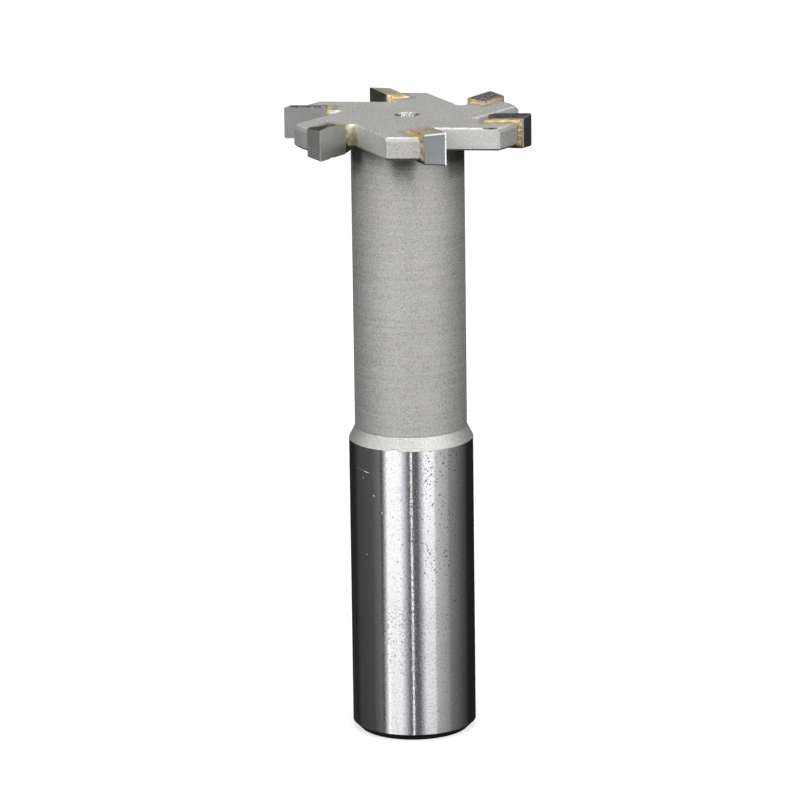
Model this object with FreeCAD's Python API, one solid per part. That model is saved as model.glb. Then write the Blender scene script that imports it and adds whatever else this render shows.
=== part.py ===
import FreeCAD, Part
import math
import os

# T-slot cutter: one turned and milled steel body with six brazed carbide tips.
# It stands on the end face of its shank, the origin is at the centre of that
# face and the tool axis is +Z. Seen from the head it turns counter-clockwise.

# Shank, shoulder and neck
shank_diameter = 20.0
shank_length = 48.3
shank_end_chamfer = 1.15
shoulder_length = 2.0
neck_diameter = 18.0
neck_length = 46.85
neck_fillet = 0.8

# Centre holes in both ends, which the tool was turned and ground between
centre_rim_diameter = 4.0
centre_cone_angle = 60.0
pilot_diameter = 2.0
pilot_depth = 2.2
drill_point_angle = 118.0

# Cutting head
tooth_count = 6
cutting_diameter = 40.0
cutting_width = 5.3
first_edge_angle = -72.6
rim_relief = 1.15
face_relief = 0.85
rim_chamfer = 0.65
underside_chamfer = 0.4
edge_break = 0.3

# Gullets, milled with an angle cutter
gullet_angle = 60.0
gullet_root_wall = 2.0
gullet_root_radius = 0.5

# Carbide tips
tip_length = 6.7
tip_thickness = 3.2
tip_lead = 0.5
rake_angle = 7.0
clearance_angle = 10.0
side_clearance_angle = 4.5
dish_angle = 1.0
corner_chamfer = 0.2

# Braze that holds each tip in its pocket
braze_gap = 0.1
braze_spread = 0.6
braze_rim_spread = 0.25
braze_rise = 0.45
braze_root = 0.4
flank_setback = 0.15

# Points closer than this count as one when edges are picked
touching = 0.001

# Heights and radii that follow
neck_start = shank_length + shoulder_length
head_underside = neck_start + neck_length
head_thickness = cutting_width - 2 * face_relief
head_face = head_underside + head_thickness
head_middle = head_underside + head_thickness / 2
shank_radius = shank_diameter / 2
neck_radius = neck_diameter / 2
cutting_radius = cutting_diameter / 2
rim_radius = cutting_radius - rim_relief
root_distance = neck_radius + gullet_root_wall
tooth_pitch = 360.0 / tooth_count

# Places in the frame of one tooth: X runs outward along the rake face, Y is
# square to the rake face and points the way the tooth cuts
rake = math.radians(rake_angle)
edge_x = cutting_radius * math.cos(rake)
rake_y = -cutting_radius * math.sin(rake)
seat_y = rake_y - tip_thickness
lead_y = rake_y - tip_lead
inner_x = edge_x - tip_length
heel_x = edge_x - tip_thickness * math.tan(math.radians(rake_angle + clearance_angle))
root_x = math.sqrt(root_distance ** 2 - lead_y ** 2)
beyond = cutting_diameter


def point(x, y, z=0.0):
    return FreeCAD.Vector(x, y, z)


def outline(corners, z):
    """Closed wire through plan corners at one height."""
    path = [point(x, y, z) for x, y in corners]
    return Part.makePolygon(path + path[:1])


def prism(corners, low, high):
    """Upright solid on a plan outline."""
    return Part.Face(outline(corners, low)).extrude(point(0, 0, high - low))


def spun(profile):
    """Solid of revolution about the tool axis from a closed XZ profile."""
    return Part.Face(Part.Wire(profile)).revolve(point(0, 0, 0), point(0, 0, 1), 360)


def turned_blank():
    """Shank, shoulder, neck and head disc, as they come off the lathe."""
    lower = [
        point(0, 0, 0),
        point(shank_radius - shank_end_chamfer, 0, 0),
        point(shank_radius, 0, shank_end_chamfer),
        point(shank_radius, 0, shank_length),
        point(neck_radius, 0, neck_start),
        point(neck_radius, 0, head_underside - neck_fillet),
    ]
    upper = [
        point(neck_radius + neck_fillet, 0, head_underside),
        point(rim_radius - underside_chamfer, 0, head_underside),
        point(rim_radius, 0, head_underside + underside_chamfer),
        point(rim_radius, 0, head_face - rim_chamfer),
        point(rim_radius - rim_chamfer, 0, head_face),
        point(0, 0, head_face),
        point(0, 0, 0),
    ]
    sweep = neck_fillet * (1 - math.sqrt(0.5))
    middle = point(neck_radius + sweep, 0, head_underside - sweep)
    profile = Part.makePolygon(lower).Edges
    profile.append(Part.Arc(lower[-1], middle, upper[0]).toShape())
    profile += Part.makePolygon(upper).Edges
    return spun(profile)


def centre_hole(face, inward):
    """Countersunk pilot hole drilled along the axis from an end face."""
    pilot_radius = pilot_diameter / 2
    rim = centre_rim_diameter / 2
    cone_depth = (rim - pilot_radius) / math.tan(math.radians(centre_cone_angle / 2))
    floor = cone_depth + pilot_depth
    tip = floor + pilot_radius / math.tan(math.radians(drill_point_angle / 2))
    corners = [(0, 0), (rim, 0), (pilot_radius, cone_depth), (pilot_radius, floor), (0, tip)]
    path = [point(radius, 0, face + inward * depth) for radius, depth in corners]
    return spun(Part.makePolygon(path + path[:1]).Edges)


def gullet():
    """V-shaped chip space in front of one tooth, with a rounded root."""
    low = head_underside - neck_fillet
    high = head_face + face_relief
    half = math.radians(gullet_angle / 2)
    tangent = gullet_root_radius / math.tan(half)
    centre = gullet_root_radius / math.sin(half)

    def along(distance, angle):
        return point(root_x + distance * math.cos(angle), lead_y + distance * math.sin(angle), low)

    leading_out = along(beyond, 0)
    trailing_out = along(beyond, 2 * half)
    leading_in = along(tangent, 0)
    trailing_in = along(tangent, 2 * half)
    root = along(centre - gullet_root_radius, half)
    edges = [
        Part.makeLine(leading_out, leading_in),
        Part.Arc(leading_in, root, trailing_in).toShape(),
        Part.makeLine(trailing_in, trailing_out),
        Part.makeLine(trailing_out, leading_out),
    ]
    return Part.Face(Part.Wire(edges)).extrude(point(0, 0, high - low))


def pocket():
    """Seat that is milled through the arm for one tip."""
    inner = inner_x - braze_gap
    back = seat_y - braze_gap
    corners = [(inner, back), (beyond, back), (beyond, rake_y), (inner, rake_y)]
    return prism(corners, head_underside - face_relief, head_face + face_relief)


def side_grind(side):
    """Space above (+1) or below (-1) the ground side face of a tip."""
    inward_drop = math.tan(math.radians(dish_angle))
    backward_drop = math.tan(math.radians(side_clearance_angle))
    normal = point(-inward_drop, -backward_drop, side)
    space = Part.makeBox(beyond, beyond, beyond, point(-beyond / 2, -beyond / 2, 0))
    corner = point(edge_x, rake_y, head_middle + side * cutting_width / 2)
    space.Placement = FreeCAD.Placement(corner, FreeCAD.Rotation(point(0, 0, 1), normal))
    return space


def carbide_tip():
    """Tip with ground rake, flank and side faces and honed corners."""
    corners = [(edge_x, rake_y), (heel_x, seat_y), (inner_x, seat_y), (inner_x, rake_y)]
    low = head_middle - cutting_width
    high = head_middle + cutting_width
    blank = prism(corners, low, high).cut(side_grind(1)).cut(side_grind(-1))
    corner_edges = [
        edge for edge in blank.Edges
        if edge.BoundBox.XMin > heel_x - touching and edge.BoundBox.YLength > touching
    ]
    return blank.makeChamfer(corner_chamfer, corner_edges)


def braze(body, tip):
    """Filler in the gap behind a tip, with fillets on the arm around it."""
    inner = inner_x - braze_gap
    back = seat_y - braze_gap
    spread_y = back - braze_spread
    rim_y = back - braze_rim_spread
    rim_x = math.sqrt(rim_radius ** 2 - rim_y ** 2)
    flank_x = heel_x - flank_setback
    wide = [
        (inner - braze_spread, lead_y - edge_break),
        (inner - braze_spread, spread_y),
        (rim_x, rim_y),
        (flank_x, seat_y),
        (flank_x, lead_y - edge_break),
    ]
    narrow = [
        (inner, lead_y - edge_break),
        (inner, back),
        (flank_x - braze_gap, back),
        (flank_x, seat_y),
        (flank_x, lead_y - edge_break),
    ]
    filler = prism(wide, head_underside, head_face)
    for face, side in ((head_face, 1), (head_underside, -1)):
        collar = Part.makeLoft([outline(wide, face), outline(narrow, face + side * braze_rise)], True, True)
        filler = filler.fuse(collar)
    film = [(inner, back), (inner_x, back), (inner_x, lead_y), (inner, lead_y)]
    pool_y = lead_y + braze_root
    pool_x = root_x + braze_root
    pool = [(root_x, lead_y), (inner_x, lead_y), (inner_x, rake_y - braze_gap), (pool_x, pool_y)]
    filler = filler.fuse(prism(film, head_underside, head_face))
    filler = filler.fuse(prism(pool, head_underside + edge_break, head_face - edge_break))
    return filler.cut(body).cut(tip)


def tooth_place(tooth):
    """Angle of the frame of one tooth about the tool axis."""
    return first_edge_angle + rake_angle + tooth * tooth_pitch


def turned_to(shape, angle):
    """Copy of a shape, turned about the tool axis."""
    copy = shape.copy()
    copy.rotate(point(0, 0, 0), point(0, 0, 1), angle)
    return copy


def break_gullet_edges(body):
    """Small bevels where the gullets meet the two faces of the head."""
    def is_gullet_edge(edge):
        flat = edge.BoundBox.ZLength < touching
        height = edge.CenterOfMass.z
        on_face = min(abs(height - head_face), abs(height - head_underside)) < touching
        is_round = isinstance(edge.Curve, Part.Circle)
        turned = is_round and math.hypot(edge.Curve.Center.x, edge.Curve.Center.y) < touching
        return flat and on_face and not turned

    return body.makeChamfer(edge_break, [edge for edge in body.Edges if is_gullet_edge(edge)])


def cutter_body():
    """Steel body with gullets, tip pockets and centre holes."""
    body = turned_blank()
    for tooth in range(tooth_count):
        body = body.cut(turned_to(gullet(), tooth_place(tooth)))
    body = break_gullet_edges(body)
    for tooth in range(tooth_count):
        body = body.cut(turned_to(pocket(), tooth_place(tooth)))
    body = body.cut(centre_hole(head_face, -1))
    return body.cut(centre_hole(0, 1))


def save(shape, node):
    solids = shape.Solids
    piece = solids[0] if len(solids) == 1 else shape
    print(node, len(solids), piece.isValid(), round(piece.Volume, 3), len(piece.Faces))
    piece.exportStep("parts/" + node + ".step")


os.makedirs("parts", exist_ok=True)
body = cutter_body()
save(body, "cutter_body")
for tooth in range(tooth_count):
    tip = turned_to(carbide_tip(), tooth_place(tooth))
    save(tip, "carbide_tip_%d" % (tooth + 1))
first_place = tooth_place(0)
joint = braze(turned_to(body, -first_place), carbide_tip())
for tooth in range(tooth_count):
    save(turned_to(joint, tooth_place(tooth)), "braze_%d" % (tooth + 1))
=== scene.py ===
import bpy
import bmesh
import math
import random
from mathutils import Matrix, Vector, noise


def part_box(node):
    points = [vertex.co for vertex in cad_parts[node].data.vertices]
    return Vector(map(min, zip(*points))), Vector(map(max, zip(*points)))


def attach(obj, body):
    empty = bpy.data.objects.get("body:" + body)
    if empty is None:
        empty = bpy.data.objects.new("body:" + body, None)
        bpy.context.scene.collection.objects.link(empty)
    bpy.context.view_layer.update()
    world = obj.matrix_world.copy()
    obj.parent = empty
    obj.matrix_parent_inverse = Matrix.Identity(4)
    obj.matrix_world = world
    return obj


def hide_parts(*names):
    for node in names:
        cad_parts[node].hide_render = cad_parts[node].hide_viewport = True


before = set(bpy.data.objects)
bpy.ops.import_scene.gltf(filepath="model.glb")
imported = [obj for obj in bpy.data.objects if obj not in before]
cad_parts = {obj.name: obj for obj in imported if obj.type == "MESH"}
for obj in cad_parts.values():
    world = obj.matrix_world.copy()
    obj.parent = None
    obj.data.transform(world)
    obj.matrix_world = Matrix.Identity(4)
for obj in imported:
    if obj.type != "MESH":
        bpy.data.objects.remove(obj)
bpy.ops.object.select_all(action="DESELECT")
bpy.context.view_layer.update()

# The camera: a long lens on a stand, a little above the cutter and tipped down
# by fourteen degrees, with the cutter just right of the middle of the picture.
camera_angles = (75.6200, 0.7350, -0.0612)
lens = bpy.data.cameras.new("camera")
lens.sensor_width = 36.0
lens.lens = 222.84
lens.clip_start = 0.05
lens.clip_end = 20.0
camera = bpy.data.objects.new("camera", lens)
camera.location = (0.0, -0.76811, 0.25118)
camera.rotation_euler = [math.radians(angle) for angle in camera_angles]
bpy.context.scene.collection.objects.link(camera)
bpy.context.scene.camera = camera
bpy.context.scene.view_settings.view_transform = "Standard"

# The table: a smooth white board that the cutter stands on. It keeps the soft
# shadow at the foot of the shank, and it can be looked through from below.
board_size = 6.0
board_white = (0.98, 0.98, 0.98)
whitening = 0.6


def new_material(name):
    """Material with an empty tree."""
    material = bpy.data.materials.new(name)
    material.use_nodes = True
    material.node_tree.nodes.clear()
    return material, material.node_tree


def node(tree, kind, **settings):
    made = tree.nodes.new(kind)
    for key, value in settings.items():
        setattr(made, key, value)
    return made


def feed(target, value):
    """Puts a number, a colour or another node's output on an input socket."""
    if isinstance(value, bpy.types.NodeSocket):
        target.id_data.links.new(value, target)
    elif value is not None:
        is_colour = target.type == "RGBA" and len(value) == 3
        target.default_value = (*value, 1) if is_colour else value


def tree_of(*values):
    """The tree that the first socket among some values belongs to."""
    return next(value.id_data for value in values if isinstance(value, bpy.types.NodeSocket))


def maths(kind, *values, clamp=False):
    made = node(tree_of(*values), "ShaderNodeMath", operation=kind, use_clamp=clamp)
    for target, value in zip(made.inputs, values):
        feed(target, value)
    return made.outputs[0]


def times(first, second):
    return maths("MULTIPLY", first, second)


def looked_at(tree):
    """1 for the eye, in reflections and through glass, and 0 where light is only spread."""
    path = node(tree, "ShaderNodeLightPath")
    seen = maths("ADD", path.outputs["Is Camera Ray"], path.outputs["Is Glossy Ray"])
    return maths("ADD", seen, path.outputs["Is Transmission Ray"], clamp=True)


def mixed(share, first, second):
    """Two shader nodes mixed."""
    made = node(share.id_data, "ShaderNodeMixShader")
    for target, value in zip(made.inputs, (share, first.outputs[0], second.outputs[0])):
        feed(target, value)
    return made


def show(shader, kind="ShaderNodeOutputMaterial"):
    feed(node(shader.id_data, kind).inputs["Surface"], shader.outputs[0])


bpy.ops.mesh.primitive_plane_add(size=board_size, location=(0, 0, 0))
board = bpy.context.object
board.name = "white_board"
paint, tree = new_material("white_board_paint")
matt = node(tree, "ShaderNodeBsdfDiffuse")
feed(matt.inputs["Color"], board_white)
whitened = mixed(times(looked_at(tree), whitening), matt, node(tree, "ShaderNodeEmission"))
from_below = node(tree, "ShaderNodeNewGeometry").outputs["Backfacing"]
show(mixed(from_below, whitened, node(tree, "ShaderNodeBsdfTransparent")))
board.data.materials.append(paint)
board.visible_glossy = False

# The room: white to the eye and in reflections, and at a plain level where it
# only lights the cutter.
room_level = 0.55


def ramp(value, low, high, to_low=0.0, to_high=1.0, smooth=False):
    """Moves a value from one range to another and stops it at both ends."""
    made = node(value.id_data, "ShaderNodeMapRange")
    if smooth:
        made.interpolation_type = "SMOOTHSTEP"
    for target, number in zip(made.inputs, (value, low, high, to_low, to_high)):
        feed(target, number)
    return made.outputs[0]


world = bpy.data.worlds.new("white_room")
bpy.context.scene.world = world
world.use_nodes = True
tree = world.node_tree
tree.nodes.clear()
background = node(tree, "ShaderNodeBackground")
feed(background.inputs["Color"], (1, 1, 1))
feed(background.inputs["Strength"], ramp(looked_at(tree), 0.0, 1.0, room_level, 1.0))
show(background, "ShaderNodeOutputWorld")

# The lamps: two soft boxes in front, left and right of the camera, two weaker
# ones at the sides and one overhead, all large and even, aimed at the neck.
aim = Vector((0, 0, 0.06))
lamps = [
    ("left_soft_box", (-0.65, -0.93, 0.84), 0.7, 6.4, True),
    ("right_soft_box", (0.62, -0.85, 0.95), 0.7, 7.6, True),
    ("side_soft_box", (-1.30, -0.20, 0.45), 0.7, 2.0, True),
    ("right_side_soft_box", (1.10, -0.55, 0.85), 0.7, 2.4, True),
    ("top_soft_box", (0.0, -0.1, 1.5), 1.0, 13.5, False),
]
for name, place, width, watts, shines in lamps:
    light = bpy.data.lights.new(name, "AREA")
    light.shape = "SQUARE"
    light.size = width
    light.energy = watts
    lamp = bpy.data.objects.new(name, light)
    lamp.location = place
    lamp.rotation_euler = (aim - Vector(place)).to_track_quat("-Z", "Y").to_euler()
    lamp.visible_glossy = shines
    bpy.context.scene.collection.objects.link(lamp)

# The cards: bent boards round the cutter that only show in its bright steel.
# Each spans an angle seen from above, where 0 is the camera's side and plus is
# to the right. It has a brightness at both ends, and a share of it at the foot.
card_radius = 0.60
card_step = 2.0
plain = (1, 1, 1)
cool = (0.955, 0.97, 1.03)
shank_band = (-0.24, -0.072)
shank_cards = [
    ("back_left_black", (-168, -134), (0.012, 0.014), 2.5, plain),
    ("back_left_fade", (-134, -112), (0.014, 0.075), 0.7, plain),
    ("left_dark_wall", (-112, -78), (0.075, 0.10), 0.5, plain),
    ("left_dark_wall_near", (-78, -60), (0.10, 0.19), 0.65, plain),
    ("left_gap", (-60, -57.5), (0.07, 0.08), 1.0, plain),
    ("left_white_edge_fade", (-57.5, -51), (0.04, 0.28), 2.8, plain),
    ("left_white_edge", (-51, -45), (0.50, 1.24), 1.30, plain),
    ("left_white", (-45, -21), (1.27, 1.27), 0.68, plain),
    ("left_white_fade", (-21, -6.0), (1.22, 0.13), 0.66, cool),
    ("middle_left", (-6.0, -2.0), (0.13, 0.13), 1.0, cool),
    ("middle_slit", (-2.0, 0.0), (1.85, 1.85), 0.85, plain),
    ("middle_right", (0.0, 10.8), (0.10, 0.12), 1.15, cool),
    ("right_white_fade", (10.8, 22), (0.14, 1.10), 0.50, cool),
    ("right_white", (22, 42), (1.32, 1.26), 0.42, plain),
    ("right_grey", (42, 71), (0.76, 0.41), 0.42, plain),
    ("right_grey_fade", (71, 104), (0.33, 0.11), 0.31, plain),
    ("right_grey_end", (104, 124), (0.115, 0.02), 0.34, plain),
    ("back_right_black", (124, 168), (0.016, 0.012), 1.0, plain),
    ("back_strip", (168, 192), (0.9, 0.9), 1.0, plain),
]
neck_band = (-0.072, 0.17)
neck_cards = [
    ("neck_front", (-50, 50), (0.33, 0.33), 1.0, plain),
    ("neck_left", (-112, -50), (0.15, 0.34), 1.0, plain),
    ("neck_left_fade", (-126, -112), (0.02, 0.15), 1.0, plain),
    ("neck_right", (50, 112), (0.36, 0.24), 1.0, plain),
    ("neck_right_fade", (112, 128), (0.20, 0.03), 1.0, plain),
    ("neck_back", (128, 234), (0.02, 0.02), 1.0, plain),
]
head_band = (0.17, 0.55)
head_cards = [("back_grey", (100, 260), (0.10, 0.10), 1.0, plain)]
floor_card_radius = 0.61
floor_card_black = (0.02, 0.02, 0.02)


def only_in_reflections(card):
    card.visible_camera = False
    card.visible_diffuse = False
    card.visible_shadow = False
    card.visible_transmission = False


def bent_card(name, span, levels, dim, tint, band):
    """Strip of a cylinder round the cutter, with its brightness on its corners."""
    start, end = span
    steps = max(2, int(abs(end - start) / card_step))
    corners, shades = [], []
    for step in range(steps + 1):
        share = step / steps
        turn = math.radians(start + (end - start) * share)
        brightness = levels[0] + (levels[1] - levels[0]) * share
        for height, factor in zip(band, (dim, 1.0)):
            corners.append((card_radius * math.sin(turn), -card_radius * math.cos(turn), height))
            shades.append([brightness * factor * part for part in tint] + [1.0])
    faces = [(first, first + 2, first + 3, first + 1) for first in range(0, 2 * steps, 2)]
    mesh = bpy.data.meshes.new(name)
    mesh.from_pydata(corners, [], faces)
    shade = mesh.color_attributes.new("shade", "FLOAT_COLOR", "POINT")
    for corner, colour in zip(shade.data, shades):
        corner.color = colour
    mesh.materials.append(card_paint)
    made = bpy.data.objects.new(name, mesh)
    bpy.context.scene.collection.objects.link(made)
    only_in_reflections(made)


card_paint, tree = new_material("card_glow")
glow = node(tree, "ShaderNodeEmission")
feed(glow.inputs["Color"], node(tree, "ShaderNodeVertexColor", layer_name="shade").outputs["Color"])
show(glow)
for band, cards in ((shank_band, shank_cards), (neck_band, neck_cards), (head_band, head_cards)):
    for card in cards:
        bent_card(*card, band)
bpy.ops.mesh.primitive_circle_add(
    vertices=64, radius=floor_card_radius, fill_type="NGON", location=(0, 0, shank_band[0]))
floor_card = bpy.context.object
floor_card.name = "floor_black"
shade = floor_card.data.color_attributes.new("shade", "FLOAT_COLOR", "POINT")
for corner in shade.data:
    corner.color = (*floor_card_black, 1.0)
floor_card.data.materials.append(card_paint)
only_in_reflections(floor_card)

# The steel body: one bar, turned, milled and shot-blasted, with a shank ground
# to size afterwards. Below the shoulder it is bright with fine grinding lines,
# pits and handling marks, and above it is a dull grey, stained by the braze.
chamfer_top = 0.00115
shank_top = 0.0483
neck_start = 0.0503
head_underside = 0.09715
head_top = 0.10075
shank_radius = 0.010
centre_hole_radius = 0.0020
tooth_count = 6
tooth_pitch = math.radians(360 / tooth_count)
first_tooth = math.radians(-65.6)
behind_tooth = math.radians(42)
arm_middle = first_tooth - math.radians(29.4)


def plus(first, second):
    return maths("ADD", first, second)


def minus(first, second, clamp=False):
    return maths("SUBTRACT", first, second, clamp=clamp)


def larger(first, second):
    return maths("MAXIMUM", first, second)


def scaled(value, factor, added):
    return maths("MULTIPLY_ADD", value, factor, added)


def size_of(value):
    return maths("ABSOLUTE", value)


def vectors(kind, first, second=None):
    """Vector maths, which gives a number for a length, a distance or a dot product."""
    made = node(first.id_data, "ShaderNodeVectorMath", operation=kind)
    feed(made.inputs[0], first)
    feed(made.inputs["Scale" if kind == "SCALE" else 1], second)
    gives_number = kind in ("LENGTH", "DISTANCE", "DOT_PRODUCT")
    return made.outputs["Value" if gives_number else "Vector"]


def split(vector):
    made = node(vector.id_data, "ShaderNodeSeparateXYZ")
    feed(made.inputs[0], vector)
    return made.outputs[:]


def joined(tree, x, y):
    made = node(tree, "ShaderNodeCombineXYZ")
    feed(made.inputs["X"], x)
    feed(made.inputs["Y"], y)
    return made.outputs[0]


def blend(share, first, second, kind="MIX"):
    made = node(share.id_data, "ShaderNodeMix", data_type="RGBA", blend_type=kind)
    feed(made.inputs[0], share)
    feed(made.inputs[6], first)
    feed(made.inputs[7], second)
    return made.outputs[2]


def over(under, mask, paint, share=1.0):
    """Lays a colour over another one where a mask is on, at a share of full strength."""
    return blend(mask if share == 1.0 else times(mask, share), under, paint)


def grey(level):
    return (level, level, level)


def grain(place, scale, detail=2.0, rough=0.5):
    made = node(place.id_data, "ShaderNodeTexNoise")
    feed(made.inputs["Vector"], place)
    feed(made.inputs["Scale"], scale)
    feed(made.inputs["Detail"], detail)
    feed(made.inputs["Roughness"], rough)
    return made.outputs["Fac"]


def ragged(value, grains, reach):
    """A distance that a noise pushes to and fro by half a reach."""
    return plus(value, scaled(grains, reach, -reach / 2))


def group(name, inputs, outputs):
    """Node group with value outputs. Inputs with a number are values, the others vectors."""
    made = bpy.data.node_groups.new(name, "ShaderNodeTree")
    for label, default in inputs.items():
        kind = "NodeSocketVector" if default is None else "NodeSocketFloat"
        socket = made.interface.new_socket(label, in_out="INPUT", socket_type=kind)
        if default is not None:
            socket.default_value = default
    for label in outputs:
        made.interface.new_socket(label, in_out="OUTPUT", socket_type="NodeSocketFloat")
    return made, node(made, "NodeGroupInput").outputs, node(made, "NodeGroupOutput").inputs


def use(made, place, **values):
    """Outputs of a node group that is given a place and its other values."""
    box = node(place.id_data, "ShaderNodeGroup", node_tree=made)
    feed(box.inputs["Place"], place)
    for label, value in values.items():
        feed(box.inputs[label], value)
    return box.outputs


def marks(place, lines):
    """Mask of thin marks, each with a start, an end and a width."""
    mask = 0.0
    for start, end, width in lines:
        mask = larger(use(line_mark, place, Start=start, End=end, Width=width)[0], mask)
    return mask


# A scratch or nick is a thin mark along a line between two points.
line_mark, given, result = group(
    "line mark", {"Place": None, "Start": None, "End": None, "Width": 0.0001}, ["Mask"])
along = vectors("SUBTRACT", given["End"], given["Start"])
here = vectors("SUBTRACT", given["Place"], given["Start"])
length = vectors("DOT_PRODUCT", along, along)
share = maths("DIVIDE", vectors("DOT_PRODUCT", here, along), length, clamp=True)
gap = vectors("DISTANCE", here, vectors("SCALE", along, share))
taper = minus(1.0, maths("POWER", size_of(scaled(share, 2.0, -1.0)), 3.0))
wide = larger(times(given["Width"], taper), 1e-6)
feed(result["Mask"], minus(1.0, maths("DIVIDE", gap, wide), clamp=True))

# Pits are small round holes scattered at random, of which only some are kept.
pitting, given, result = group(
    "pitting", {"Place": None, "Scale": 2000.0, "Size": 0.2, "Amount": 0.3}, ["Mask"])
cells = node(pitting, "ShaderNodeTexVoronoi", feature="F1")
feed(cells.inputs["Vector"], given["Place"])
feed(cells.inputs["Scale"], given["Scale"])
lottery = node(pitting, "ShaderNodeTexWhiteNoise", noise_dimensions="3D")
feed(lottery.inputs["Vector"], cells.outputs["Position"])
kept = maths("LESS_THAN", lottery.outputs["Value"], given["Amount"])
varied = node(pitting, "ShaderNodeSeparateColor")
feed(varied.inputs[0], lottery.outputs["Color"])
radius = times(given["Size"], ramp(varied.outputs[1], 0.0, 1.0, 0.4, 1.2))
hole = ramp(minus(1.0, maths("DIVIDE", cells.outputs["Distance"], radius), clamp=True), 0.0, 0.5)
feed(result["Mask"], times(hole, kept))

# The tooth frame: every sixth of the head is folded onto the first tooth, with
# X outward along the rake face and Y the way the tooth cuts.
tooth_frame, given, result = group("tooth frame", {"Place": None}, ["X", "Y", "Z"])
x, y, z = split(given["Place"])
turn = minus(maths("ARCTAN2", y, x), first_tooth - behind_tooth)
turn = minus(maths("FLOORED_MODULO", turn, tooth_pitch), behind_tooth)
distance = vectors("LENGTH", joined(tooth_frame, x, y))
feed(result["X"], times(distance, maths("COSINE", turn)))
feed(result["Y"], times(distance, maths("SINE", turn)))
feed(result["Z"], z)

steel, tree = new_material("blasted_and_ground_steel")
place = node(tree, "ShaderNodeTexCoord").outputs["Object"]
x, y, height = split(place)
facing_up = split(node(tree, "ShaderNodeNewGeometry").outputs["True Normal"])[2]
turn = maths("ARCTAN2", y, x)
wrapped = joined(tree, times(turn, shank_radius), height)
from_axis = vectors("LENGTH", joined(tree, x, y))

# Where the ground shank ends and the blasted steel starts, with two nicks
wander = ragged(height, grain(place, 2600.0), 0.00008)
is_blasted = ramp(wander, shank_top - 0.00001, shank_top + 0.00004)
shoulder_nicks = marks(place, [
    ((-0.00680, -0.00733, 0.04832), (-0.00640, -0.00768, 0.04862), 0.00014),
    ((-0.00330, -0.00944, 0.04832), (-0.00215, -0.00976, 0.04842), 0.00014),
])
is_blasted = minus(is_blasted, times(shoulder_nicks, 0.6), clamp=True)

# Ground steel: lines round the shank, speckle, pits and light scratches
single_pits = [
    (0.262, 47.13, 0.17), (0.278, 46.60, 0.16), (0.311, 45.56, 0.16), (0.316, 44.46, 0.19),
    (0.524, 46.90, 0.17), (0.500, 45.96, 0.15), (0.689, 44.40, 0.17), (0.223, 43.50, 0.17),
    (0.324, 39.30, 0.15), (0.442, 35.98, 0.15),
]
grinding = grain(vectors("MULTIPLY", wrapped, (900.0, 9000.0, 1.0)), 1.0, 3.0, 0.6)
ripple = grain(vectors("MULTIPLY", wrapped, (1500.0, 2400.0, 1.0)), 1.0, 2.0, 0.6)
speckle = grain(place, 3000.0, 1.0)
patches = ramp(grain(place, 110.0), 0.44, 0.66)
right_side = times(
    ramp(x, -0.006, 0.0015, 0.35, 1.0), ramp(height, 0.016, 0.028, 0.35, 1.0, smooth=True))
pits = times(use(pitting, place, Scale=2000.0, Size=0.30, Amount=scaled(patches, 0.80, 0.06))[0], right_side)
for side, level, size in single_pits:
    # Side is a share of the shank's radius, level and size are in millimetres
    centre = (shank_radius * side, -shank_radius * math.sqrt(1 - side * side), level / 1000)
    pits = larger(pits, ramp(vectors("DISTANCE", place, centre), size / 1000, size / 2500))
fine_pits = use(pitting, place, Scale=3400.0, Size=0.36, Amount=scaled(patches, 0.60, 0.16))[0]
fine_pits = times(fine_pits, right_side)
holes = larger(pits, times(fine_pits, 0.6))
scratches = marks(place, [
    ((-0.00867, -0.00499, 0.04465), (-0.00777, -0.00630, 0.04443), 0.00006),
    ((-0.00777, -0.00630, 0.04443), (-0.00667, -0.00745, 0.04422), 0.00006),
    ((-0.00620, -0.00784, 0.04072), (-0.00590, -0.00808, 0.04055), 0.00009),
    ((-0.00486, -0.00874, 0.03812), (-0.00470, -0.00883, 0.03795), 0.00009),
    ((-0.00735, -0.00678, 0.03080), (-0.00722, -0.00692, 0.03050), 0.00008),
    ((-0.00779, -0.00627, 0.04322), (-0.00765, -0.00644, 0.04312), 0.00009),
])
# Spots from handling lie thickest in a ring near the foot, and thin out at both sides
handled = times(
    ramp(height, 0.027, 0.020, 0.34, 1.0, smooth=True), ramp(height, 0.008, 0.015, 0.45, 1.0, smooth=True))
handled = larger(handled, ramp(x, -0.0025, 0.0005, 0.0, 0.50))
for start, end, before, after in [
    (-0.0052, -0.0044, 0.25, 1.0), (0.0006, 0.0016, 1.0, 0.65), (0.0040, 0.0080, 1.0, 0.4),
]:
    handled = times(handled, ramp(x, start, end, before, after))
handled = times(handled, ramp(size_of(plus(x, 0.0001)), 0.0004, 0.0009, 0.4, 1.0))
spots = times(ramp(grain(place, 3300.0, 1.0), 0.53, 0.66), handled)
# Colour, gloss and relief of the ground steel, with a painted dark reflection in the chamfer at its end
ground_colour = blend(ramp(grain(place, 120.0, 3.0), 0.35, 0.65), (0.85, 0.85, 0.86), grey(0.91))
ground_colour = over(ground_colour, times(ramp(speckle, 0.47, 0.30, 0.0, 0.55), handled), grey(0.36))
ground_colour = over(ground_colour, pits, (0.12, 0.115, 0.11), 0.85)
ground_colour = over(ground_colour, fine_pits, (0.25, 0.245, 0.24), 0.45)
# The chamfer at the foot is painted dark, a painted reflection of the dark ground
chamfer_painted_reflection = ramp(height, chamfer_top + 0.00003, chamfer_top - 0.00003)
ground_colour = over(ground_colour, chamfer_painted_reflection, (0.10, 0.10, 0.105), 0.55)
ground_rough = larger(scaled(spots, 0.24, 0.088), times(scratches, 0.55))
ground_relief = scaled(grinding, 0.14, times(speckle, 0.30))
ground_relief = scaled(ripple, 0.32, ground_relief)
ground_relief = minus(minus(ground_relief, times(holes, 0.5)), times(scratches, 2.0))

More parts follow.
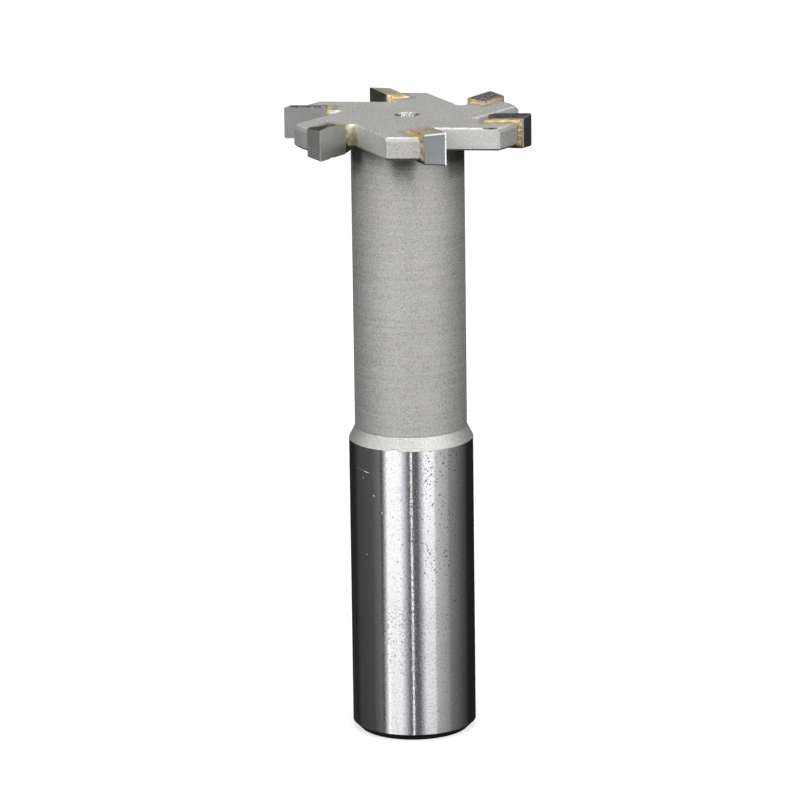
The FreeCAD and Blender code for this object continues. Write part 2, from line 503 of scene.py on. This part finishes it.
# Blasted steel: an even grain from the shot, with faint turning lines on the neck
shot = grain(place, 5200.0, 3.0, 0.65)
coarse = grain(place, 1500.0)
mealy = grain(place, 2500.0, 3.0, 0.7)
on_face = ramp(facing_up, 0.95, 0.99)
on_neck = times(ramp(height, 0.0968, 0.0955), ramp(height, neck_start - 0.0002, neck_start + 0.0003))
rings = times(grain(vectors("MULTIPLY", wrapped, (60.0, 1900.0, 1.0)), 1.0, 2.0, 0.6), on_neck)
grit = ramp(height, 0.0964, 0.0970, 0.74, 0.78)
grit = scaled(on_neck, ramp(size_of(x), 0.003, 0.008, 0.0, 0.36), grit)
# The parts that differ, most of them painted light and shade by the way they face: upright faces and the
# flanks of the head painted lighter, the bevels, the cone and the top painted darker, a painted highlight
# along the bevels' top edge, and one real nick
upright_painted_light = times(minus(1.0, on_face), ramp(height, neck_start - 0.0001, neck_start + 0.0003))
flank_painted_light = times(ramp(height, 0.0966, 0.0970), ramp(size_of(facing_up), 0.30, 0.15))
flank_painted_light = times(flank_painted_light, ramp(from_axis, 0.0188, 0.0185, 0.0, 0.42))
bevel_painted_shade = times(ramp(facing_up, 0.45, 0.55), ramp(facing_up, 0.93, 0.86))
bevel_painted_shade = times(bevel_painted_shade, ramp(height, 0.0993, 0.0996))
# A painted highlight: a white line along the top edge of each bevel
bevel_edge_painted_highlight = times(bevel_painted_shade, ramp(height, head_top - 0.00030, head_top - 0.00014))
bevel_edge_painted_highlight = times(bevel_edge_painted_highlight, ramp(grain(place, 1800.0), 0.30, 0.65, 0.15, 0.7))
cone_painted_shade = times(ramp(height, neck_start + 0.0001, neck_start - 0.0001), ramp(facing_up, 0.2, 0.4, 0.0, 0.46))
cone_painted_shade = times(cone_painted_shade, ramp(size_of(x), 0.004, 0.0092, 1.0, 0.2))
top_painted_shade = times(ramp(height, head_top - 0.00005, head_top - 0.00002), ramp(facing_up, 0.95, 0.99, 0.0, 0.13))
edge_nick = marks(place, [((0.0116, -0.01163, 0.10070), (0.0142, -0.01190, 0.10070), 0.00027)])
edge_nick = times(ramp(edge_nick, 0.0, 0.5), ramp(grain(place, 3000.0), 0.32, 0.46))

# Painted shadow under the head, where the arms shade the neck: darkest under the arms and at the right
under_arm = scaled(turn, tooth_count, -tooth_count * arm_middle)
under_arm = ramp(maths("COSINE", under_arm), -0.3, 0.9, smooth=True)
under_arm = larger(under_arm, ramp(x, 0.0066, 0.0078, smooth=True))
painted_shadow_under_head = scaled(under_arm, 0.0024, ragged(height, grain(place, 500.0), 0.0016))
below_head = ramp(height, head_underside + 0.00001, head_underside - 0.00001)
painted_shadow_under_head = times(ramp(painted_shadow_under_head, 0.0930, 0.0974, smooth=True), below_head)
painted_shadow_under_head = times(painted_shadow_under_head, plus(ramp(under_arm, 0.0, 1.0, 0.58, 0.80), ramp(x, 0.0068, 0.0082, 0.0, 0.13)))

# Dark dents on the shoulder, bright rubs on the neck and small holes in the grain
shoulder_marks = marks(place, [
    ((-0.00672, -0.00735, 0.04856), (-0.00650, -0.00735, 0.04900), 0.00009),
    ((-0.00650, -0.00735, 0.04900), (-0.00600, -0.00775, 0.04905), 0.00009),
    ((-0.00330, -0.00930, 0.04856), (-0.00215, -0.00962, 0.04864), 0.00009),
    ((-0.00215, -0.00962, 0.04864), (-0.00195, -0.00979, 0.04832), 0.00009),
])
neck_marks = marks(place, [
    ((-0.00541, -0.00720, 0.07660), (-0.00415, -0.00799, 0.07522), 0.00022),
    ((-0.00555, -0.00709, 0.07610), (-0.00470, -0.00768, 0.07520), 0.00012),
    ((-0.00536, -0.00723, 0.07444), (-0.00431, -0.00790, 0.07366), 0.00014),
    ((-0.00480, -0.00762, 0.07560), (-0.00380, -0.00816, 0.07470), 0.00011),
])
grit_holes = use(pitting, place, Scale=1300.0, Size=0.14, Amount=0.06)[0]
blasted_colour = blend(ramp(grain(place, 90.0, 3.0), 0.3, 0.7), (0.61, 0.60, 0.575), (0.67, 0.66, 0.64))
# Upright faces are painted lighter, as painted light
blasted_colour = blend(upright_painted_light, blasted_colour, (0.085, 0.085, 0.083), "ADD")
for mask, paint in [
    (times(ramp(shot, 0.50, 0.72), grit), (0.92, 0.92, 0.91)),
    (times(ramp(shot, 0.50, 0.28), grit), (0.26, 0.255, 0.25)),
    (times(ramp(mealy, 0.50, 0.66, 0.0, 0.50), on_face), (0.90, 0.90, 0.88)),
    (times(ramp(mealy, 0.50, 0.34, 0.0, 0.44), on_face), (0.30, 0.295, 0.28)),
    # Painted light on the flanks, painted shade on the bevels, the cone and the top, and a painted highlight
    # on the bevel edge
    (flank_painted_light, (0.95, 0.95, 0.94)),
    (times(bevel_painted_shade, 0.62), (0.36, 0.36, 0.355)),
    (bevel_edge_painted_highlight, (0.92, 0.92, 0.91)),
    (cone_painted_shade, (0.30, 0.30, 0.29)),
    (top_painted_shade, (0.30, 0.30, 0.295)),
    (edge_nick, (0.05, 0.045, 0.04)),
    # Painted shadow under the head
    (painted_shadow_under_head, (0.05, 0.047, 0.043)),
    (times(shoulder_marks, 0.8), (0.10, 0.095, 0.09)),
    (ramp(rings, 0.52, 0.66, 0.0, 0.28), (0.84, 0.84, 0.83)),
    (times(ramp(rings, 0.48, 0.34, 0.0, 0.16), on_neck), (0.42, 0.42, 0.41)),
    (times(grit_holes, 0.6), (0.16, 0.155, 0.15)),
    (times(neck_marks, 0.8), (0.92, 0.92, 0.91)),
]:
    blasted_colour = over(blasted_colour, mask, paint)

# The centre hole is bright inside, where the tool turned on its centre
in_hole = times(
    ramp(from_axis, centre_hole_radius + 0.00003, centre_hole_radius - 0.00003),
    ramp(height, head_top - 0.00001, head_top - 0.00007))
hole_colour = blend(ramp(grain(place, 3800.0, 3.0, 0.8), 0.42, 0.58), (0.11, 0.11, 0.105), (0.47, 0.47, 0.46))
blasted_colour = over(blasted_colour, in_hole, hole_colour)
blasted_rough = ramp(in_hole, 0.0, 1.0, scaled(neck_marks, -0.25, 0.58), 0.40)
blasted_relief = scaled(rings, 0.5, plus(shot, times(coarse, 0.8)))

# Heat and flux stains round the brazed tips, and a deposit in the root of each gullet
tooth_x, tooth_y, _ = use(tooth_frame, place)[:]
stain_x = larger(minus(0.0125, tooth_x), 0.0)
stain_y = larger(minus(-0.0063, tooth_y), 0.0)
stain_y = larger(stain_y, times(plus(tooth_y, 0.0027), 3.0))
stain = ragged(vectors("LENGTH", joined(tree, stain_x, stain_y)), grain(place, 700.0, 3.0), 0.0012)
on_head = times(ramp(height, 0.0966, 0.0974), ramp(facing_up, 0.4, 0.9, 0.12, 1.0))
green_stain = times(ramp(stain, 0.0014, 0.0003, smooth=True), on_head)
gold_stain = times(ramp(stain, 0.0003, 0.0, smooth=True), on_head)
from_root = vectors("LENGTH", joined(tree, minus(tooth_x, 0.0113), plus(tooth_y, 0.0022)))
deposit = ramp(ragged(from_root, grain(place, 900.0), 0.0004), 0.00100, 0.00092)
deposit = times(deposit, ramp(height, 0.0974, 0.0978))
deposit_colour = blend(ramp(height, 0.0985, 0.1000), (0.50, 0.49, 0.37), (0.82, 0.79, 0.66))
blasted_colour = over(blasted_colour, green_stain, (0.38, 0.37, 0.22), 0.70)
blasted_colour = over(blasted_colour, gold_stain, (0.70, 0.62, 0.42), 0.6)
blasted_colour = over(blasted_colour, deposit, deposit_colour, 0.85)


def metal(tree, colour, roughness, metallic, relief, strength, depth):
    """Metal skin with a bump, shown by the material."""
    bump = node(tree, "ShaderNodeBump")
    feed(bump.inputs["Strength"], strength)
    feed(bump.inputs["Distance"], depth)
    feed(bump.inputs["Height"], relief)
    skin = node(tree, "ShaderNodeBsdfPrincipled")
    feed(skin.inputs["Base Color"], colour)
    feed(skin.inputs["Roughness"], roughness)
    feed(skin.inputs["Metallic"], metallic)
    feed(skin.inputs["Normal"], bump.outputs[0])
    show(skin)


body_colour = blend(is_blasted, ground_colour, blasted_colour)
body_rough = ramp(is_blasted, 0.0, 1.0, ground_rough, blasted_rough)
body_relief = ramp(
    is_blasted, 0.0, 1.0, scaled(ground_relief, 0.32, -0.36), scaled(blasted_relief, 0.5, -0.45))
metal(tree, body_colour, body_rough, 1.0, body_relief, 1.0, 0.00006)
cutter_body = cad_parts["cutter_body"]
cutter_body.data.materials.clear()
cutter_body.data.materials.append(steel)

# The six carbide tips: pressed and sintered blanks, ground on the rake face,
# the flank and the underside, with dark sintered tops and small chips. Each is
# brazed into a pocket of its arm.
edge_x = 0.019851
rake_y = -0.002437
tip_top = 0.1016
tip_inner_end = 0.01315
tip_back = -0.00564
top_slope = 0.0787
worn_edge = 0.00003
worn_edge_first_tip = 0.00005
broken_grey = (0.13, 0.13, 0.11)
# White of the painted highlight on the honed lands
land_highlight_white = (0.95, 0.95, 0.94)
braze_dark = (0.44, 0.33, 0.18)
braze_pale = (0.74, 0.62, 0.40)
# What the tips share. The origin is inside the shank, so a speck there shows nowhere.
usual_tip = dict(
    ground=(0.70, 0.705, 0.70), gloss=0.30, streaks=0.06, fade=0.0, crumbled=0.2, land=0.00004, shine=0.3,
    speck=(0, 0, 0))
tip_looks = [
    dict(
        usual_tip, ground=(0.70, 0.725, 0.75), gloss=0.26, streaks=0.22, crumbled=0.0, land=0.00026,
        shine=1.0, top_dark=(0.20, 0.185, 0.16), top_pale=(1.0, 0.925, 0.80), top_tan=(0.56, 0.50, 0.40),
        tan_share=0.90, stain_reach=0.0050),
    dict(
        usual_tip, gloss=0.26, top_dark=(0.038, 0.039, 0.043), top_pale=(0.46, 0.46, 0.47),
        top_tan=(0.24, 0.15, 0.09), tan_share=0.80, stain_reach=0.0008),
    dict(
        usual_tip, top_dark=(0.13, 0.13, 0.135), top_pale=(0.65, 0.65, 0.675),
        top_tan=(0.34, 0.24, 0.14), tan_share=0.55, stain_reach=0.0006),
    dict(
        usual_tip, ground=(0.585, 0.59, 0.58), top_dark=(0.20, 0.19, 0.15), top_pale=(1.0, 0.95, 0.75),
        top_tan=(0.56, 0.50, 0.37), tan_share=0.95, stain_reach=0.0055),
    dict(
        usual_tip, ground=(0.52, 0.525, 0.515), gloss=0.40, streaks=0.05, crumbled=0.90, shine=0.2,
        top_dark=grey(0.05), top_pale=grey(0.25), top_tan=(0.30, 0.24, 0.14), tan_share=0.50,
        stain_reach=0.0008),
    dict(
        usual_tip, ground=(0.65, 0.655, 0.64), gloss=0.38, streaks=0.05, fade=0.28, crumbled=0.4,
        land=0.00009, shine=0.35, top_dark=grey(0.05), top_pale=grey(0.25), top_tan=(0.30, 0.24, 0.14),
        tan_share=0.30, stain_reach=0.0006, speck=(14.8, -2.437, 98.6)),
]
# Planes that two tops were worn down to, through a ridge along the tip and with two slopes
ridge_height = 0.10152
worn_tops = {
    4: [(0.0174, 0.0, -0.15), (0.0187, 0.28, -0.10)],
    5: [(0.0174, -0.11, -0.13), (0.0174, 0.12, -0.08)],
}
# Chips by tip: a place in the tooth frame and a size, in millimetres
chips = [
    [(17.5, -5.3, 96.5, 0.20)],
    [(13.3, -2.4, 101.6, 0.50), (14.6, -2.35, 101.65, 0.22), (16.4, -2.35, 101.7, 0.20),
     (18.2, -2.4, 101.7, 0.16)],
    [(13.2, -5.6, 101.3, 0.22)],
    [(19.6, -3.2, 101.6, 0.15)],
    [(13.6, -2.4, 101.6, 0.28), (14.7, -2.4, 101.65, 0.20), (15.9, -2.4, 101.65, 0.14),
     (17.4, -2.4, 101.7, 0.16), (19.9, -2.4, 101.65, 0.40)],
    [(16.7, -2.35, 96.35, 0.42), (14.2, -2.4, 96.3, 0.15)],
]


def merged_copy(source, name):
    """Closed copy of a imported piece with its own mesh."""
    mesh = source.data.copy()
    made = bpy.data.objects.new(name, mesh)
    bpy.context.scene.collection.objects.link(made)
    if mesh.has_custom_normals:
        with bpy.context.temp_override(object=made, active_object=made, selected_objects=[made]):
            bpy.ops.mesh.customdata_custom_splitnormals_clear()
    shell = bmesh.new()
    shell.from_mesh(mesh)
    bmesh.ops.remove_doubles(shell, verts=shell.verts, dist=1e-6)
    bmesh.ops.recalc_face_normals(shell, faces=shell.faces)
    shell.to_mesh(mesh)
    shell.free()
    mesh.materials.clear()
    return made


def apply_all(piece):
    bpy.ops.object.select_all(action="DESELECT")
    piece.select_set(True)
    bpy.context.view_layer.objects.active = piece
    for modifier in list(piece.modifiers):
        bpy.ops.object.modifier_apply(modifier=modifier.name)
    piece.select_set(False)


def combine(piece, name, operation, other):
    """Cuts another object out of a piece or welds it on, and removes that object."""
    change = piece.modifiers.new(name, "BOOLEAN")
    change.operation = operation
    change.solver = "EXACT"
    change.object = other
    apply_all(piece)
    bpy.data.objects.remove(other)


def tooth_point(index, x, y, z):
    """Place in the whole frame of a point given in one tooth's frame, in metres."""
    turn = first_tooth + index * tooth_pitch
    return Vector((x * math.cos(turn) - y * math.sin(turn), x * math.sin(turn) + y * math.cos(turn), z))


def to_tooth(piece, index, x, y, z):
    """Turns and moves a mesh from the origin to a place in one tooth's frame."""
    piece.data.transform(Matrix.Rotation(first_tooth + index * tooth_pitch, 4, "Z"))
    piece.data.transform(Matrix.Translation(tooth_point(index, x, y, z)))


def chip(tip, index, x, y, z, size):
    """Breaks a small flake out of a tip."""
    bpy.ops.mesh.primitive_ico_sphere_add(subdivisions=2, radius=size, location=(0, 0, 0))
    flake = bpy.context.object
    shape = random.Random(int(x * 1e6) + index)
    for vertex in flake.data.vertices:
        vertex.co *= shape.uniform(0.75, 1.15)
        vertex.co.x *= 1.7
    to_tooth(flake, index, x, y, z)
    combine(tip, "chip", "DIFFERENCE", flake)


def wear_down(tip, index, ridge_x, slope, fall):
    """Grinds the top of a tip away behind the edge, to a sloped plane."""
    shell = bmesh.new()
    shell.from_mesh(tip.data)
    everything = shell.verts[:] + shell.edges[:] + shell.faces[:]
    done = bmesh.ops.bisect_plane(
        shell, geom=everything, clear_outer=True,
        plane_co=tooth_point(index, ridge_x, rake_y, ridge_height),
        plane_no=tooth_point(index, slope, fall, 1.0))
    rim = [part for part in done["geom_cut"] if isinstance(part, bmesh.types.BMEdge)]
    bmesh.ops.edgenet_fill(shell, edges=rim)
    bmesh.ops.recalc_face_normals(shell, faces=shell.faces)
    shell.to_mesh(tip.data)
    shell.free()


def carbide_material(
        name, ground, gloss, streaks, fade, crumbled, top_dark, top_pale, top_tan, tan_share, stain_reach,
        land, shine, speck):
    """Carbide with ground sides and a rough, stained top, in one tooth's own frame."""
    material, tree = new_material(name)
    place = node(tree, "ShaderNodeTexCoord").outputs["Object"]
    x, y, z = use(tooth_frame, place)[:]
    facing_up = split(node(tree, "ShaderNodeNewGeometry").outputs["True Normal"])[2]
    is_top = ramp(facing_up, 0.86, 0.95)
    # Ground faces
    lines = grain(vectors("MULTIPLY", place, (350.0, 350.0, 7000.0)), 1.0, 3.0, 0.6)
    darker = [0.86 * part for part in ground]
    colour = blend(ramp(grain(place, 230.0, 4.0, 0.6), 0.35, 0.65), darker, ground)
    colour = over(colour, ramp(lines, 0.5, 0.75, 0.0, streaks), (0.92, 0.92, 0.93))
    flaws = use(pitting, place, Scale=1500.0, Size=0.16, Amount=0.10)[0]
    colour = over(colour, flaws, (0.07, 0.07, 0.075), 0.6)
    rough = scaled(lines, 0.3 * streaks, gloss)
    colour = over(colour, ramp(x, 0.0198, 0.0140, 0.0, fade), grey(0.05))
    # Honed lands along the cutting edge and the outer edge of the top: real ground lands, painted white and
    # not metallic as a painted highlight
    off_edge = plus(size_of(minus(x, edge_x)), size_of(minus(y, rake_y)))
    below = minus(scaled(minus(y, rake_y), top_slope, tip_top), z)
    outer = times(ramp(x, 0.0185, 0.0188), ramp(below, 0.32 * land, 0.32 * land - 0.00004))
    outer = times(outer, ramp(y, -0.0038, -0.0026, 0.0, 0.45))
    honed_land_highlight = larger(ramp(off_edge, land, land - 0.00006), times(outer, ramp(facing_up, 0.9, 0.8)))
    honed_land_highlight = times(times(honed_land_highlight, ramp(grain(place, 2600.0), 0.30, 0.42)), shine)
    broken = ramp(scaled(grain(place, 1500.0, 3.0), 0.0008, below), 0.00070, 0.00058, 0.0, crumbled)
    colour = over(colour, times(broken, ramp(facing_up, 0.6, 0.4)), broken_grey)
    colour = over(colour, honed_land_highlight, land_highlight_white)
    # Sintered top
    crumbs = grain(place, 3400.0, 3.0, 0.7)
    top = blend(ramp(crumbs, 0.50, 0.66), top_dark, top_pale)
    from_braze = maths("MINIMUM", minus(x, tip_inner_end), minus(y, tip_back))
    tanned = ramp(ragged(from_braze, grain(place, 900.0, 3.0), 0.0022), stain_reach, 0.0, 0.0, tan_share)
    pale_tan = [min(1.0, part * 1.5) for part in top_tan]
    top = over(top, tanned, blend(ramp(crumbs, 0.38, 0.62), top_tan, pale_tan))
    colour = blend(is_top, colour, top)
    rough = ramp(is_top, 0.0, 1.0, rough, 0.50)
    # Braze that has run over the back and the inner end
    near_back = times(ramp(y, -0.00550, -0.00562), ramp(x, 0.0188, 0.0186))
    wetted = larger(near_back, ramp(x, 0.01325, 0.01317))
    colour = over(colour, wetted, blend(ramp(grain(place, 900.0, 3.0), 0.35, 0.65), braze_dark, braze_pale))
    rough = ramp(wetted, 0.0, 1.0, rough, 0.45)
    spot = ramp(marks(place, [(speck, [part + 0.00001 for part in speck], 0.00016)]), 0.0, 0.4)
    colour = over(colour, spot, (0.95, 0.95, 0.93))
    relief = times(crumbs, ramp(is_top, 0.0, 1.0, 0.015, 1.0))
    relief = minus(scaled(lines, 0.10 * streaks, relief), times(flaws, 0.5))
    # The honed lands lose their metal, so the painted highlight shows white
    metal(tree, colour, rough, minus(1.0, larger(honed_land_highlight, spot)), relief, 0.8, 0.00010)
    return material


for index, look in enumerate(tip_looks):
    label = "carbide_tip_%d" % (index + 1)
    tip = merged_copy(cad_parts[label], "chipped_" + label)
    speck = tooth_point(index, *[part / 1000 for part in look["speck"]])
    tip.data.materials.append(carbide_material("carbide_%d" % (index + 1), **dict(look, speck=speck)))
    soften = tip.modifiers.new("worn edges", "BEVEL")
    soften.width = worn_edge_first_tip if index == 0 else worn_edge
    soften.segments = 2
    soften.limit_method = "ANGLE"
    soften.angle_limit = math.radians(25)
    apply_all(tip)
    for plane in worn_tops.get(index, []):
        wear_down(tip, index, *plane)
    for x, y, z, size in chips[index]:
        chip(tip, index, x / 1000, y / 1000, z / 1000, size / 1000)
    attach(tip, "root")
    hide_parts(label)

# The braze: silver-brass filler that was melted round each tip and left as
# lumpy fillets, gold where it is thick and olive where flux stained it.
darkened_tooth = 5
lump_size = 0.00011
lump_scale = 1300.0
fine_lump_scale = 3000.0
melt_voxel = 0.00009
worn_braze_top = 0.10080
drop_radius = 0.0005
drop_stretch = (2.9, 1.6, 1.5)
drop_place = (0.01175, -0.0036, 0.0970)
drop_bottom = 0.09632
filler, tree = new_material("lumpy_braze")
place = node(tree, "ShaderNodeTexCoord").outputs["Object"]
x, y, z = use(tooth_frame, place)[:]
facing_up = split(node(tree, "ShaderNodeNewGeometry").outputs["Normal"])[2]
lumps = grain(place, 1100.0, 3.0, 0.6)
mottle = grain(place, 420.0, 3.0, 0.6)
fine = grain(place, 3600.0, 3.0, 0.6)
orange = ramp(scaled(grain(place, 800.0), 0.0002, z), 0.10110, 0.10122)
in_root = times(ramp(x, 0.0127, 0.0123), ramp(y, -0.0034, -0.0030))
root_colour = blend(ramp(z, 0.0985, 0.1000), (0.52, 0.51, 0.38), (0.86, 0.83, 0.70))
# Burnt flux hangs at the foot of the joint, highest at the inner end of the tip, painted near black, which is
# partly painted shade under the head
burnt_flux_and_shade_reach = times(larger(minus(x, 0.0114), 0.0), ramp(y, -0.0046, -0.0038))
burnt_flux_and_shade = scaled(grain(place, 1200.0), 0.0004, scaled(burnt_flux_and_shade_reach, -0.62, z))
burnt_flux_and_shade = ramp(burnt_flux_and_shade, 0.09745, 0.09725)
# Behind the worn tip at the left front the filler is darker
dark_band_start = tooth_point(darkened_tooth, 0.0095, -0.0058, 0.1008)
dark_band_end = tooth_point(darkened_tooth, 0.0200, -0.0058, 0.1008)
dark_band = marks(place, [(dark_band_start, dark_band_end, 0.0016)])
dark_band = times(ramp(dark_band, 0.0, 0.3), ramp(z, 0.1003, 0.1005))
# The filler on the right of the cutter is painted darker, a painted shade that holds down its highlights
right_side_painted_shade = times(ramp(split(place)[0], 0.007, 0.010), ramp(z, 0.1002, 0.1006, 0.24, 0.32))
colour = blend(ramp(lumps, 0.35, 0.65), (0.49, 0.385, 0.23), (0.74, 0.645, 0.46))
for mask, paint in [
    (ramp(mottle, 0.54, 0.68, 0.0, 0.65), (0.80, 0.755, 0.62)),
    (ramp(mottle, 0.46, 0.36, 0.0, 0.75), (0.36, 0.34, 0.20)),
    # Upward faces painted lighter, a painted light
    (ramp(facing_up, 0.25, 0.80, 0.0, 0.26), (0.82, 0.76, 0.60)),
    (ramp(z, 0.1002, 0.0976, 0.0, 0.55), (0.34, 0.29, 0.18)),
    (times(orange, 0.75), (0.60, 0.38, 0.18)),
    (times(in_root, 0.85), root_colour),
    # Burnt flux and painted shade at the foot of the joint
    (times(burnt_flux_and_shade, 0.9), (0.07, 0.055, 0.04)),
    (times(dark_band, 0.85), (0.13, 0.125, 0.10)),
    # Painted shade on the right of the cutter
    (right_side_painted_shade, (0.36, 0.30, 0.19)),
]:
    colour = over(colour, mask, paint)
metal(tree, colour, ramp(fine, 0.3, 0.7, 0.54, 0.70), 1.0, scaled(fine, 0.4, lumps), 0.5, 0.00008)


def drop_specks(mesh):
    """Removes loose specks, so that only the largest part of a piece is left."""
    shell = bmesh.new()
    shell.from_mesh(mesh)
    seen, parts = set(), []
    for start in shell.verts:
        if start in seen:
            continue
        seen.add(start)
        part = [start]
        for vertex in part:
            for edge in vertex.link_edges:
                other = edge.other_vert(vertex)
                if other not in seen:
                    seen.add(other)
                    part.append(other)
        parts.append(part)
    largest = max(parts, key=len)
    specks = [vertex for part in parts if part is not largest for vertex in part]
    bmesh.ops.delete(shell, geom=specks, context="VERTS")
    shell.to_mesh(mesh)
    shell.free()


def make_lumpy(joint, index, low, high):
    """Moves the skin of a joint in and out, but not past its box."""
    lumped = []
    for vertex in joint.data.vertices:
        swell = noise.noise(vertex.co * lump_scale + Vector((index * 7.0, 0, 0)))
        swell += 0.5 * noise.noise(vertex.co * fine_lump_scale + Vector((0, index * 5.0, 0)))
        moved = vertex.co + vertex.normal * (swell * lump_size)
        lumped += [min(max(part, bottom), top) for part, bottom, top in zip(moved, low, high)]
    joint.data.vertices.foreach_set("co", lumped)


for index in range(tooth_count):
    label = "braze_%d" % (index + 1)
    joint = merged_copy(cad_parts[label], "lumpy_" + label)
    low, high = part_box(label)
    if index in worn_tops:
        high = (high[0], high[1], worn_braze_top)
    if index == darkened_tooth:
        # A drop of filler hangs under the root of the gullet, painted dark there as burnt flux and painted
        # shade
        bpy.ops.mesh.primitive_ico_sphere_add(subdivisions=3, radius=drop_radius, location=(0, 0, 0))
        drop = bpy.context.object
        for vertex in drop.data.vertices:
            vertex.co = [part * stretch for part, stretch in zip(vertex.co, drop_stretch)]
        to_tooth(drop, index, *drop_place)
        combine(joint, "drop", "UNION", drop)
        low = (low[0], low[1], drop_bottom)
    melt = joint.modifiers.new("melted", "REMESH")
    melt.mode = "VOXEL"
    melt.voxel_size = melt_voxel
    apply_all(joint)
    drop_specks(joint.data)
    make_lumpy(joint, index, low, high)
    joint.data.materials.append(filler)
    joint.data.polygons.foreach_set("use_smooth", [True] * len(joint.data.polygons))
    joint.data.update()
    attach(joint, "root")
    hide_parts(label)
